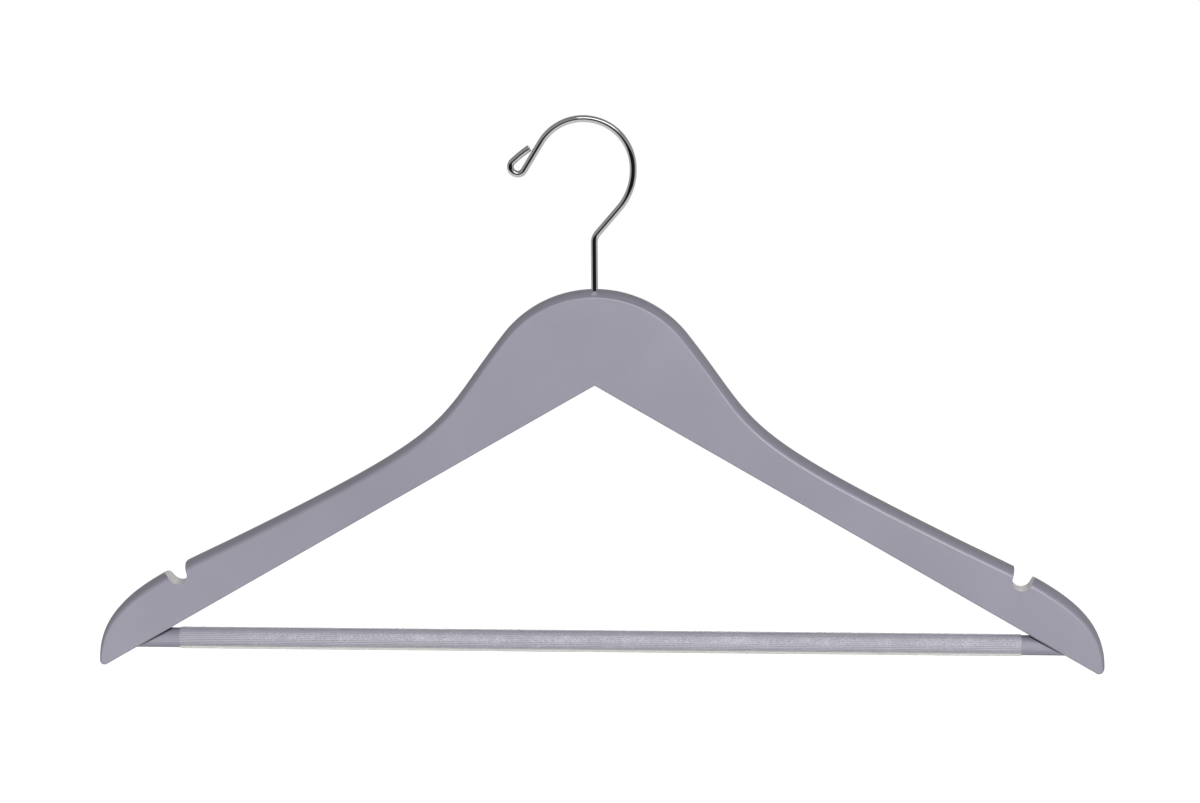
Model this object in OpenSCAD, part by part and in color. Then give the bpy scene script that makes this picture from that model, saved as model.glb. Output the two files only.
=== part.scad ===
// Flat wooden coat and trouser hanger with a swivel wire hook and a sleeved trouser bar.
// X runs along the bar, Y through the board, Z up.
// The origin is where a rail touches the top inside of the hook.

/* [Board] */
// Width over both tips
span = 432; // [380:1:480]
// Thickness of the board
board_t = 11; // [9.5:0.5:14]
// Height of wood in the middle, from the crown down to the inner corner
crown_h = 40; // [36:0.5:48]
// Radius of the crown
crown_r = 49.5; // [42:0.5:60]
// Sweep of the crown on each side of the hook, in degrees
crown_sweep = 52; // [44:1:60]
// Fall of the lower edges from the inner corner to the tips, in degrees
arm_fall = 30.1; // [27:0.1:33]
// Width of an arm where the shoulder ends, square to its lower edge
arm_w = 19.2; // [17:0.1:23]
// Fall of the top edge there, in degrees
shoulder_fall = 26.5; // [24:0.5:29]
// Length of the tip's curve, along the span
tip_run = 62; // [50:1:75]
// Radius of the tip's lower end
tip_end_r = 2.3; // [1.8:0.1:4]
// Rounding of the top edges
top_round = 1.8; // [1:0.1:2.5]
// Rounding of the lower edges
low_round = 0.8; // [0.3:0.1:1.5]

/* [Fullness of the curves] */
// Pull of the crown on the neck, as a share of the run to the shoulder's end
neck_pull = 0.35; // [0.25:0.01:0.4]
// Pull of the shoulder on the neck, as a share of the same run
shoulder_pull = 0.75; // [0.5:0.01:0.8]
// Pull of the shoulder on the tip, as a share of the tip's run
tip_pull = 0.58; // [0.4:0.01:0.65]
// Pull of the tip's lower end, as a share of the tip's run
end_pull = 0.44; // [0.3:0.01:0.5]

/* [Strap notches] */
// Radius of a notch's round bottom
notch_r = 3.9; // [3:0.1:5]
// Depth of its centre below the top edge
notch_sink = 3.1; // [1.5:0.1:3.6]
// Place along the tip's curve, from 0 at the shoulder to 1 at the end
notch_at = 0.3; // [0.2:0.01:0.4]
// Lean of the wall that holds the strap, in degrees
notch_lean = 14; // [5:1:25]
// Lean of the other wall towards the tip, in degrees
notch_flare = 14; // [8:1:24]
// Rounding of that wall's lip
lip_r = 1.4; // [0.6:0.1:2]

/* [Centre joint] */
// Reach of the glued fingers past the middle
finger_reach = 4; // [2.5:0.5:6]
// Distance from one finger to the next
finger_pitch = 5; // [4:0.5:8]
// Width of a finger's blunt end
finger_tip = 1.2; // [0.8:0.1:2]

/* [Hook] */
// Thickness of the wire
wire_d = 2.9; // [2.4:0.1:3.4]
// Inner radius of the hook, where it sits on the rail
hook_in_r = 19.4; // [17:0.2:24]
// Distance of the hook's middle from the swivel axis
hook_offset = 4.3; // [2:0.1:6]
// Height of the hook's middle above the crown
hook_rise = 51.4; // [46:0.2:60]
// Radius of the slacker bend at the back of the hook
back_r = 24.5; // [23:0.1:28]
// Flat between the slack bend and the round of the hook
back_flat = 0.7; // [0.5:0.1:3]
// Lean of the straight between the slack bend and the shank, in degrees
hook_lean = 40.7; // [34:0.1:44]
// Radius of the bend above the shank
shank_bend_r = 6; // [4:0.5:8]
// Sweep of the hook from its back over the top, in degrees
hook_sweep = 148.6; // [140:0.2:155]
// Length of the straight nose
nose_l = 14.6; // [13.5:0.1:20]
// Radius of the bend at the foot of the eye
eye_r = 3; // [2.6:0.1:4]
// Turn of that bend, in degrees
eye_turn = 198; // [190:0.5:199]
// Straight tail that closes the eye
eye_tail = 8.6; // [5:0.1:8.7]

/* [Swivel seat] */
// Width of the well in the inner corner
well_d = 7.4; // [6.8:0.1:8]
// Height of the well above the inner corner
well_h = 10; // [8:0.5:14]
// Widening of the hole at the crown
mouth_d = 3.7; // [3.4:0.1:4.2]
// Depth of that widening
mouth_h = 1.4; // [0.8:0.1:3]
// Outside of the washer
washer_d = 7; // [6.2:0.1:7.2]
// Thickness of the washer
washer_t = 0.6; // [0.4:0.1:1]
// Outside of the nut
nut_d = 6; // [5:0.1:6.4]
// Height of the nut
nut_h = 4; // [3:0.1:5]
// Width of the driver slot in the nut
nut_slot_w = 1; // [0.6:0.1:1.4]
// Depth of that slot
nut_slot_h = 1.2; // [0.8:0.1:1.6]

/* [Trouser bar] */
// Thickness of the bar
bar_d = 8.6; // [7.5:0.1:9]
// Distance of the bar's ends from the tips
bar_inset = 8; // [6:0.5:20]
// Height of the bar's axis above the tips' lowest points
bar_rise = 11.4; // [9:0.1:18]
// Distance of the grip sleeve's ends from the bar's ends
sleeve_inset = 27.5; // [26:0.5:50]
// Wall of the sleeve between its ribs
sleeve_wall = 0.4; // [0.3:0.05:0.6]
// Height of its ribs
rib_h = 0.15; // [0.1:0.01:0.25]
// Number of ribs round the sleeve
ribs = 40; // [24:1:48]
// Thickness of a brad
brad_d = 1.2; // [1:0.1:1.6]
// Length of a brad
brad_l = 13; // [10:0.5:16]
// Distance of a brad from the bar's end
brad_inset = 3.5; // [2.5:0.5:5]

/* [Fits] */
// Running clearance round the shank
swivel_gap = 0.08; // [0.03:0.01:0.1]
// Clearance between the nut and the washer
thrust_gap = 0.1; // [0.05:0.05:0.3]
// Clearance round the bar in its sockets
socket_gap = 0.12; // [0.05:0.01:0.3]
// Depth of a brad's head below the lower edge
brad_sink = 0.4; // [0.2:0.1:1]
// Thickness of the hook's plating
plating = 0.01; // [0.005:0.005:0.03]

/* [Hidden] */
$fn = 48;
half_span = span / 2;
hook_r = hook_in_r + wire_d / 2;
crown_z = -hook_in_r - hook_rise;
corner_z = crown_z - crown_h;
bar_l = span - 2 * bar_inset;
sleeve_l = bar_l - 2 * sleeve_inset;
bore_d = wire_d + 2 * swivel_gap;
well_z = corner_z + well_h;
washer_z = well_z - washer_t;
nut_z = washer_z - thrust_gap - nut_h;
brad_x = bar_l / 2 - brad_inset;
// Stations along each stretch of the outline, and steps across the rounded edges
crown_n = 8;
neck_n = 18;
tip_n = 16;
end_n = 5;
round_n = 4;
lip_n = 5;

// Unit vector that points right and falls by a degrees
function falling(a) = [cos(a), -sin(a)];

// Point at t on a curve that leaves a along u and reaches b along v
function sweep_point(a, u, b, v, t) =
    pow(1 - t, 3) * a + 3 * t * pow(1 - t, 2) * (a + u)
    + 3 * t * t * (1 - t) * (b - v) + pow(t, 3) * b;

// Direction of that curve at t
function sweep_heading(a, u, b, v, t) =
    let (d = pow(1 - t, 2) * u + 2 * t * (1 - t) * (b - v - a - u) + t * t * v)
    d / norm(d);

// Height of the lower edge at a distance x from the middle
function low_edge(x) = corner_z - x * tan(arm_fall);

// Board outline: the right half's stations, with the swivel axis at x = 0
crown_c = [0, crown_z - crown_r];
crown_end = crown_c + crown_r * [sin(crown_sweep), cos(crown_sweep)];
tip_x = half_span - tip_run;
shoulder_end = [tip_x, low_edge(tip_x) + arm_w / cos(arm_fall)];
neck_run = norm(shoulder_end - crown_end);
neck_u = neck_run * neck_pull * falling(crown_sweep);
neck_v = neck_run * shoulder_pull * falling(shoulder_fall);
end_x = half_span - tip_end_r;
end_c = [end_x, low_edge(end_x) + tip_end_r / cos(arm_fall)];
end_top = [half_span, end_c[1]];
bar_z = end_c[1] - tip_end_r + bar_rise;
tip_u = tip_run * tip_pull * falling(shoulder_fall);
tip_v = tip_run * end_pull * falling(90);

top_half = concat(
    [for (i = [0 : crown_n]) let (a = crown_sweep * i / crown_n)
        crown_c + crown_r * [sin(a), cos(a)]],
    [for (i = [1 : neck_n])
        sweep_point(crown_end, neck_u, shoulder_end, neck_v, i / neck_n)],
    [for (i = [1 : tip_n])
        sweep_point(shoulder_end, tip_u, end_top, tip_v, i / tip_n)],
    [for (i = [1 : end_n]) let (a = (90 + arm_fall) * i / (end_n + 1))
        end_c + tip_end_r * falling(a)]);
top_n = len(top_half);
low_end = end_c + tip_end_r * falling(90 + arm_fall);

// One station on the lower edge for each on the top edge, so that strips of wood join them
function low_share(i) = pow(i / (top_n - 1), 1.25);
low_half = [for (i = [0 : top_n - 1])
    [0, corner_z] + (low_end - [0, corner_z]) * low_share(i)];

function mirrored(p) = [-p[0], p[1]];
outline = concat(
    top_half,
    [for (i = [top_n - 1 : -1 : 0]) low_half[i]],
    [for (i = [1 : top_n - 1]) mirrored(low_half[i])],
    [for (i = [top_n - 1 : -1 : 1]) mirrored(top_half[i])]);
out_n = len(outline);

// Rounding at a station: full along the top, blending down round the tip's end
function blend_at(i) = i < top_n - end_n ? 0 : (i - top_n + end_n + 1) / (end_n + 1);
function half_round(i) = top_round + (low_round - top_round) * blend_at(i);
rounds = concat(
    [for (i = [0 : top_n - 1]) half_round(i)],
    [for (i = [1 : 2 * top_n - 1]) low_round],
    [for (i = [top_n - 1 : -1 : 1]) half_round(i)]);

// Unit vector square to the outline's side that starts at station i, pointing out of the wood
function side_out(i) =
    let (d = outline[(i + 1) % out_n] - outline[i % out_n], l = norm(d))
    [-d[1], d[0]] / l;

// Station i moved into the wood by a distance d, keeping the sides parallel
function inset_point(i, d) =
    let (a = side_out(i + out_n - 1), b = side_out(i))
    outline[i] - d * (a + b) / (1 + a * b);

// One ring of stations at the angle a up the rounded edge, on the face s (-1 front, 1 back)
function board_ring(s, a) =
    [for (i = [0 : out_n - 1])
        let (r = rounds[i], p = inset_point(i, r * (1 - cos(a))))
        [p[0], s * (board_t / 2 - r * (1 - sin(a))), p[1]]];

rings = concat(
    [for (k = [round_n : -1 : 0]) board_ring(-1, 90 * k / round_n)],
    [for (k = [0 : round_n]) board_ring(1, 90 * k / round_n)]);
ring_n = len(rings);

// Whole board before it is sawn and drilled
module board() {
    // strips of the flat faces run from a top station to its lower station
    function low_of(i) = 2 * top_n - 1 - i;
    last = (ring_n - 1) * out_n;
    rim = [for (k = [0 : ring_n - 2], i = [0 : out_n - 1])
        let (j = (i + 1) % out_n, a = k * out_n)
        each [[a + i, a + out_n + i, a + out_n + j], [a + i, a + out_n + j, a + j]]];
    right = [for (i = [0 : top_n - 2])
        let (p = i, q = i + 1, u = low_of(i), v = low_of(i + 1))
        each [[p, q, v], [p, v, u]]];
    function across(i) = i == 0 ? 0 : i <= low_of(0) ? 2 * low_of(0) - i : out_n - i;
    left = [for (t = right) [across(t[0]), across(t[2]), across(t[1])]];
    front = concat(right, left);
    back = [for (t = front) [t[0] + last, t[2] + last, t[1] + last]];
    polyhedron([for (r = rings) each r], concat(rim, front, back), convexity = 6);
}

// A drill of the given length that starts at y = 0 and runs towards +X
module x_drill(d, l) rotate([0, 90, 0]) cylinder(d = d, h = l);

// Strap notch in the right arm: a round bottom between a leaning wall and a flared one
module notch_cut() {
    at = sweep_point(shoulder_end, tip_u, end_top, tip_v, notch_at);
    way = sweep_heading(shoulder_end, tip_u, end_top, tip_v, notch_at);
    up = [-way[1], way[0]];
    c = at - notch_sink * up;
    wall = [sin(notch_lean), cos(notch_lean)];
    wall_foot = c + notch_r * [-cos(notch_lean), sin(notch_lean)];
    flare = cos(notch_flare) * up + sin(notch_flare) * way;
    flare_out = [flare[1], -flare[0]];
    flare_foot = c + notch_r * flare_out;
    // the lip's round touches the flared wall and the top edge beside it
    lip_t = notch_at + notch_r / tip_run;
    lip_way = sweep_heading(shoulder_end, tip_u, end_top, tip_v, lip_t);
    lip_up = [-lip_way[1], lip_way[0]];
    sunk = sweep_point(shoulder_end, tip_u, end_top, tip_v, lip_t) - lip_r * lip_up;
    lip_c = sunk + lip_way * (lip_r - (sunk - flare_foot) * flare_out) / (lip_way * flare_out);
    lip_turn = acos(-(lip_up * flare_out));
    lip = [for (i = [0 : lip_n]) let (a = lip_turn * i / lip_n)
        lip_c + lip_r * (cos(a) * lip_up - sin(a) * lip_way)];
    clear = 3 * notch_r;
    rotate([90, 0, 0]) {
        translate([c[0], c[1], -board_t])
            cylinder(r = notch_r, h = 2 * board_t);
        translate([0, 0, -board_t])
            linear_extrude(2 * board_t)
                polygon(concat([c, wall_foot, wall_foot + clear * wall, lip[0] + clear * lip_up],
                               lip, [flare_foot]));
    }
}

// Blind socket for the bar and the brad's hole, in the right arm
module bar_cuts() {
    socket_l = half_span - sleeve_l / 2;
    translate([bar_l / 2 + socket_gap - socket_l, 0, bar_z])
        x_drill(bar_d + 2 * socket_gap, socket_l);
    translate([brad_x, 0, low_edge(brad_x) - board_t])
        cylinder(d = brad_d, h = board_t + brad_sink + brad_l);
}

// Hole for the shank, its widened mouth and the well for washer and nut
module swivel_cuts() {
    translate([0, 0, corner_z])
        cylinder(d = bore_d, h = crown_h + board_t);
    translate([0, 0, crown_z - mouth_h])
        cylinder(d = mouth_d, h = board_t);
    translate([0, 0, corner_z - board_t])
        cylinder(d = well_d, h = board_t + well_h);
}

// Everything on the left of the glued joint, whose fingers reach past the middle by turns
module left_of_joint() {
    slope_h = finger_pitch / 2 - finger_tip;
    fingers = ceil(crown_h / finger_pitch) + 2;
    top_z = corner_z + (fingers - 1) * finger_pitch;
    saw = [for (i = [0 : fingers])
        let (z = top_z - i * finger_pitch)
        each [[finger_reach, z], [finger_reach, z - finger_tip],
              [-finger_reach, z - finger_tip - slope_h],
              [-finger_reach, z - 2 * finger_tip - slope_h]]];
    low_z = top_z - (fingers + 1) * finger_pitch;
    rotate([90, 0, 0])
        translate([0, 0, -board_t])
            linear_extrude(2 * board_t)
                polygon(concat([[-span, top_z]], saw,
                               [[finger_reach, low_z], [0, low_z - span], [-span, low_z - span]]));
}

// One arm: its side of the sawn board, with the cuts of that side
module arm(side) {
    difference() {
        if (side < 0) intersection() { board(); left_of_joint(); }
        else difference() { board(); left_of_joint(); }
        swivel_cuts();
        mirror([side < 0 ? 1 : 0, 0, 0]) {
            notch_cut();
            bar_cuts();
        }
    }
}

// Move what is drawn about the swivel axis to its place beside the origin
module on_axis() translate([hook_offset, 0, 0]) children();

module left_arm() color([0.61, 0.6, 0.65]) on_axis() arm(-1);
module right_arm() color([0.61, 0.6, 0.65]) on_axis() arm(1);

// One bend of the wire from the origin, heading up and turning left by a
module wire_bend(r, a)
    translate([-r, 0, 0]) rotate([90, 0, 0])
        rotate_extrude(angle = a) translate([r, 0]) circle(d = wire_d);

// Wire laid along steps, each a straight [length] or a bend [radius, turn], left turns positive.
// A bead no thicker than the plating closes the round seam between two steps.
module wire(steps, i = 0) {
    if (i < len(steps)) {
        s = steps[i];
        if (i > 0) sphere(d = wire_d + 2 * plating);
        if (len(s) == 1) {
            cylinder(d = wire_d, h = s[0]);
            translate([0, 0, s[0]]) wire(steps, i + 1);
        } else {
            side = sign(s[1]);
            mirror([side < 0 ? 1 : 0, 0, 0]) wire_bend(s[0], abs(s[1]));
            translate([-side * s[0], 0, 0]) rotate([0, -s[1], 0])
                translate([side * s[0], 0, 0]) wire(steps, i + 1);
        }
    }
}

module hook() {
    // the leaning straight ends this far out from the swivel axis
    reach = hook_r - back_r * (1 - cos(hook_lean)) - hook_offset;
    bend_cut = shank_bend_r * tan(hook_lean / 2);
    straight = reach / sin(hook_lean) - bend_cut;
    knee_z = -hook_in_r - back_flat - back_r * sin(hook_lean) - reach / tan(hook_lean);
    shank_l = knee_z - bend_cut - nut_z;
    color([0.78, 0.78, 0.8])
        translate([hook_offset, 0, nut_z])
            wire([[shank_l], [shank_bend_r, -hook_lean], [straight], [back_r, hook_lean],
                  [back_flat], [hook_r, hook_sweep], [nose_l], [eye_r, -eye_turn], [eye_tail]]);
}

module hook_washer() color([0.7, 0.7, 0.72]) on_axis()
    translate([0, 0, washer_z]) difference() {
        cylinder(d = washer_d, h = washer_t);
        translate([0, 0, -washer_t]) cylinder(d = bore_d, h = 3 * washer_t);
    }

// Round nut on the shank's foot, slotted for a forked driver
module hook_nut() color([0.75, 0.72, 0.6]) on_axis()
    translate([0, 0, nut_z]) difference() {
        cylinder(d = nut_d, h = nut_h);
        translate([0, 0, -nut_h]) cylinder(d = wire_d, h = 3 * nut_h);
        cube([2 * nut_d, nut_slot_w, 2 * nut_slot_h], center = true);
    }

module trouser_bar() color([0.61, 0.6, 0.65]) on_axis()
    translate([-bar_l / 2, 0, bar_z]) difference() {
        x_drill(bar_d, bar_l);
        for (x = [brad_inset, bar_l - brad_inset])
            translate([x, 0, -bar_d]) cylinder(d = brad_d, h = 2 * bar_d);
    }

// Clear tube stretched over the bar, with fine ribs along it
module grip_sleeve() color([0.85, 0.86, 0.88, 0.6]) on_axis()
    translate([-sleeve_l / 2, 0, bar_z]) rotate([0, 90, 0])
        linear_extrude(sleeve_l) difference() {
            polygon([for (i = [0 : 2 * ribs - 1])
                let (r = bar_d / 2 + sleeve_wall + (i % 2 == 0 ? rib_h : 0))
                r * [cos(180 * i / ribs), sin(180 * i / ribs)]]);
            circle(d = bar_d);
        }

// Headless brad, driven up from the arm's lower edge through the bar
module bar_pin(side) color([0.6, 0.6, 0.62]) on_axis()
    translate([side * brad_x, 0, low_edge(brad_x) + brad_sink])
        cylinder(d = brad_d, h = brad_l);

module left_bar_pin() bar_pin(-1);
module right_bar_pin() bar_pin(1);

left_arm();
right_arm();
hook();
hook_washer();
hook_nut();
trouser_bar();
grip_sleeve();
left_bar_pin();
right_bar_pin();
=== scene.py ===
import bpy
import bmesh
import math
from mathutils import Matrix, Vector, noise


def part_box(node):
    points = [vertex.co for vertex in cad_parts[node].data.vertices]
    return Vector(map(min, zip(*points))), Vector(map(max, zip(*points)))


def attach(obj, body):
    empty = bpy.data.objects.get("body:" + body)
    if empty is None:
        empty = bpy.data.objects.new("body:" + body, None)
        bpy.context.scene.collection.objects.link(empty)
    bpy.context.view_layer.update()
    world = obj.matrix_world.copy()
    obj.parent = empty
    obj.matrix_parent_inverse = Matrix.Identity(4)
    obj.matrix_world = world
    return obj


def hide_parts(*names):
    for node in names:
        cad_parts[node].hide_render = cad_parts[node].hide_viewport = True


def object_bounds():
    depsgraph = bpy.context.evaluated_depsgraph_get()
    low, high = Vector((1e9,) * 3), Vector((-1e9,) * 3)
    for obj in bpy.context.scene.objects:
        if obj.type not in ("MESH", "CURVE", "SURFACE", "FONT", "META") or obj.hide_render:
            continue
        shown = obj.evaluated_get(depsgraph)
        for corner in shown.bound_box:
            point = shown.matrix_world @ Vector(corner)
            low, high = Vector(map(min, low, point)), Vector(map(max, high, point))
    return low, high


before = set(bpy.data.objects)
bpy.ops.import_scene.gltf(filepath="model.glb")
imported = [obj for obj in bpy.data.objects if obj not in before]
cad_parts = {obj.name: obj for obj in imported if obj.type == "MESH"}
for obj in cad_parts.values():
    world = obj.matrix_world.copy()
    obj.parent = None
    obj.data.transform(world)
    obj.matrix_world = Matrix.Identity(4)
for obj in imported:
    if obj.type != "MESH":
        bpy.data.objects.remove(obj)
cadLow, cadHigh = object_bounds()
scene = bpy.context.scene
mm = 0.001
past = 10 * mm  # how far a cutting tool stands out past what it cuts

# places that every piece shares, read from the frame
leftLow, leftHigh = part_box("left_arm")
rightLow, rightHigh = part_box("right_arm")
barLow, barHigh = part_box("trouser_bar")
sleeveLow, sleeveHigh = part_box("grip_sleeve")
nutLow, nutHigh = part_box("hook_nut")
washerLow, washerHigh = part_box("hook_washer")
hookLow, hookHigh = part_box("hook")
axisX = (nutLow.x + nutHigh.x) / 2
boardT = rightHigh.y - rightLow.y
halfSpan = (rightHigh.x - leftLow.x) / 2
barR = (barHigh.z - barLow.z) / 2
barZ = (barLow.z + barHigh.z) / 2
wireR = (hookHigh.y - hookLow.y) / 2
crownZ = max(leftHigh.z, rightHigh.z)
armFall = 30.1  # degrees that the arms' lower edges fall from the inner corner
crownDrop = 40.0 * mm  # wood above the inner corner
print("frame read: board", round(boardT / mm, 2), "mm thick, bar", round(2 * barR / mm, 2), "mm")


# a node with its sockets or settings filled in by name
def newNode(tree, kind, **values):
    node = tree.nodes.new(kind)
    for key, value in values.items():
        if key in node.inputs:
            node.inputs[key].default_value = value
        else:
            setattr(node, key, value)
    return node


def newMaterial(name):
    material = bpy.data.materials.new(name)
    material.use_nodes = True
    tree = material.node_tree
    return material, tree, tree.nodes["Principled BSDF"]


# object coordinates in millimetres, turned and stretched for a grain
def millimetres(tree, turn=(0, 0, 0), stretch=(1, 1, 1)):
    coords = newNode(tree, "ShaderNodeTexCoord")
    mapping = newNode(tree, "ShaderNodeMapping")
    mapping.inputs["Rotation"].default_value = [math.radians(a) for a in turn]
    mapping.inputs["Scale"].default_value = [s / mm for s in stretch]
    tree.links.new(coords.outputs["Object"], mapping.inputs["Vector"])
    return mapping.outputs["Vector"]


def newGroup(name, inputs, outputs):
    group = bpy.data.node_groups.new(name, "ShaderNodeTree")
    kinds = {"v": "NodeSocketVector", "f": "NodeSocketFloat", "c": "NodeSocketColor"}
    for label, kind in inputs.items():
        group.interface.new_socket(name=label, in_out="INPUT", socket_type=kinds[kind])
    for label, kind in outputs.items():
        group.interface.new_socket(name=label, in_out="OUTPUT", socket_type=kinds[kind])
    return group, newNode(group, "NodeGroupInput"), newNode(group, "NodeGroupOutput")


def mathNode(tree, operation, a, b=None):
    node = newNode(tree, "ShaderNodeMath", operation=operation)
    for i, value in enumerate(v for v in (a, b) if v is not None):
        if isinstance(value, (int, float)):
            node.inputs[i].default_value = value
        else:
            tree.links.new(value, node.inputs[i])
    return node.outputs["Value"]


def plusNode(tree, a, b):
    return mathNode(tree, "ADD", a, b)


def minusNode(tree, a, b):
    return mathNode(tree, "SUBTRACT", a, b)


def timesNode(tree, a, b):
    return mathNode(tree, "MULTIPLY", a, b)


def noiseNode(tree, vector, scale, detail=3.0, rough=0.5, twist=0.0):
    node = newNode(tree, "ShaderNodeTexNoise", Scale=scale, Detail=detail, Roughness=rough)
    node.inputs["Distortion"].default_value = twist
    tree.links.new(vector, node.inputs["Vector"])
    return node.outputs["Fac"]


def rangeNode(tree, value, low, high, toLow=0.0, toHigh=1.0):
    node = newNode(tree, "ShaderNodeMapRange")
    node.inputs["From Min"].default_value = low
    node.inputs["From Max"].default_value = high
    node.inputs["To Min"].default_value = toLow
    node.inputs["To Max"].default_value = toHigh
    tree.links.new(value, node.inputs["Value"])
    return node.outputs["Result"]


def mixColour(tree, factor, a, b):
    node = newNode(tree, "ShaderNodeMix", data_type="RGBA", blend_type="MIX")
    sockets = (node.inputs["Factor"], node.inputs[6], node.inputs[7])  # 6 and 7 are the two colours
    for socket, value in zip(sockets, (factor, a, b)):
        if isinstance(value, (int, float, tuple)):
            socket.default_value = value
        else:
            tree.links.new(value, socket)
    return node.outputs[2]  # the mixed colour


def bumpNode(tree, height, strength, distance):
    node = newNode(tree, "ShaderNodeBump", Strength=strength, Distance=distance)
    tree.links.new(height, node.inputs["Height"])
    return node.outputs["Normal"]


def placeGroup(tree, group, values):
    node = tree.nodes.new("ShaderNodeGroup")
    node.node_tree = group
    for label, value in values.items():
        if isinstance(value, (int, float, tuple)):
            node.inputs[label].default_value = value
        else:
            tree.links.new(value, node.inputs[label])
    return node


cameraValues = {
    "azimuth": 3.9,
    "elevation": 10.3,
    "roll": -0.44,
    "distance": 1.4018,
    "target": (0.0062, 0.0, -0.1184),
    "focalPixels": 3311.5,
    "imageWidth": 1200,
    "sensorWidth": 36,
    "clip": (0.05, 40),
}


def aimCamera(values):
    data = bpy.data.cameras.new("studioCamera")
    data.sensor_width = values["sensorWidth"]
    data.lens = values["sensorWidth"] * values["focalPixels"] / values["imageWidth"]
    data.clip_start, data.clip_end = values["clip"]
    camera = bpy.data.objects.new("studioCamera", data)
    scene.collection.objects.link(camera)
    az, el, roll = (math.radians(values[k]) for k in ("azimuth", "elevation", "roll"))
    back = Vector((math.sin(az) * math.cos(el), -math.cos(az) * math.cos(el), math.sin(el)))
    right = Vector((math.cos(az), math.sin(az), 0))
    up = back.cross(right)
    turned = Matrix((
        math.cos(roll) * right + math.sin(roll) * up,
        math.cos(roll) * up - math.sin(roll) * right,
        back,
    )).transposed()
    place = Vector(values["target"]) + values["distance"] * back
    camera.matrix_world = Matrix.Translation(place) @ turned.to_4x4()
    scene.camera = camera


lightValues = {
    # place, width, height, watts, and whether shiny surfaces show it
    "boxes": {
        "leftFill": ((-0.42, -0.5, -0.42), 0.3, 0.3, 2.3, False),
        "rightFill": ((0.42, -0.5, -0.42), 0.3, 0.3, 1.6, False),
        "cameraBox": ((0.34, -1.62, 0.28), 1.2, 1.0, 20.8, True),
        "highBox": ((0.3, -1.0, 0.9), 1.1, 0.4, 3.0, True),
    },
    "aim": (0.0, 0.0, -0.13),
    "tentTop": 0.20,
    "tentSide": 0.40,
    "tentLow": 0.75,
    # the dark slot, in parts of the tent
    "slotDark": 0.012,
    "slotNarrow": 2.0,
    "slotSides": (-0.2, 0.15),
    "slotLevel": -0.1,
    "slotHeight": 0.22,
    "slotFade": 0.12,
    "backdrop": 1.15,
}


def lightStudio(values):
    aim = Vector(values["aim"])
    for name, (place, width, height, watts, shows) in values["boxes"].items():
        data = bpy.data.lights.new(name, "AREA")
        data.shape = "RECTANGLE"
        data.size = width
        data.size_y = height
        data.energy = watts
        box = bpy.data.objects.new(name, data)
        scene.collection.objects.link(box)
        box.location = place
        box.rotation_euler = (aim - Vector(place)).to_track_quat("-Z", "Y").to_euler()
        box.visible_camera = False
        box.visible_glossy = shows

    # a pale tent round the object, with a dark slot in front where the camera looks in
    world = bpy.data.worlds.new("studio")
    world.use_nodes = True
    scene.world = world
    tree = world.node_tree
    tree.nodes.clear()
    link = tree.links.new
    coords = newNode(tree, "ShaderNodeTexCoord")
    split = newNode(tree, "ShaderNodeSeparateXYZ")
    link(coords.outputs["Generated"], split.inputs["Vector"])
    ramp = newNode(tree, "ShaderNodeValToRGB")
    stops = ramp.color_ramp.elements
    stops[0].color = (*[values["tentLow"]] * 3, 1)
    stops[1].color = (*[values["tentTop"]] * 3, 1)
    stops.new(0.5).color = (*[values["tentSide"]] * 3, 1)
    link(rangeNode(tree, split.outputs["Z"], -1, 1), ramp.inputs["Fac"])
    across = mathNode(tree, "ABSOLUTE", split.outputs["X"])
    across = plusNode(tree, across, timesNode(tree, split.outputs["Y"], values["slotNarrow"]))
    across = rangeNode(tree, across, *values["slotSides"], 1, 0)
    upward = mathNode(tree, "ABSOLUTE", plusNode(tree, split.outputs["Z"], -values["slotLevel"]))
    upward = rangeNode(tree, upward, values["slotHeight"], values["slotHeight"] + values["slotFade"], 1, 0)
    slot = timesNode(tree, across, upward)
    tone = mixColour(tree, slot, ramp.outputs["Color"], (*[values["slotDark"]] * 3, 1))
    room = newNode(tree, "ShaderNodeBackground", Strength=1.0)
    link(tone, room.inputs["Color"])
    backdrop = newNode(tree, "ShaderNodeBackground", Strength=values["backdrop"])
    backdrop.inputs["Color"].default_value = (1, 1, 1, 1)
    path = newNode(tree, "ShaderNodeLightPath")
    mix = newNode(tree, "ShaderNodeMixShader")
    out = newNode(tree, "ShaderNodeOutputWorld")
    link(path.outputs["Is Camera Ray"], mix.inputs["Fac"])
    link(room.outputs["Background"], mix.inputs[1])
    link(backdrop.outputs["Background"], mix.inputs[2])
    link(mix.outputs["Shader"], out.inputs["Surface"])
    scene.view_settings.view_transform = "Standard"


floorValues = {
    "halfWidth": 6,
    "drop": 0.07,
    "colour": (0.93, 0.93, 0.93, 1),
    "roughness": 0.9,
    "gloss": 0.1,
    "glow": 0.75,
}


def layFloor(values):
    bm = bmesh.new()
    bmesh.ops.create_grid(bm, x_segments=1, y_segments=1, size=values["halfWidth"])
    bmesh.ops.translate(bm, verts=bm.verts, vec=(0, 0, cadLow.z - values["drop"]))
    mesh = bpy.data.meshes.new("floor")
    bm.to_mesh(mesh)
    bm.free()
    floor = bpy.data.objects.new("floor", mesh)
    scene.collection.objects.link(floor)
    paper, _, shader = newMaterial("whitePaper")
    shader.inputs["Base Color"].default_value = values["colour"]
    shader.inputs["Roughness"].default_value = values["roughness"]
    shader.inputs["Specular IOR Level"].default_value = values["gloss"]
    shader.inputs["Emission Color"].default_value = (1, 1, 1, 1)
    shader.inputs["Emission Strength"].default_value = values["glow"]
    mesh.materials.append(paper)
    floor.visible_diffuse = False
    floor.visible_glossy = False


aimCamera(cameraValues)
lightStudio(lightValues)
layFloor(floorValues)

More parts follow.
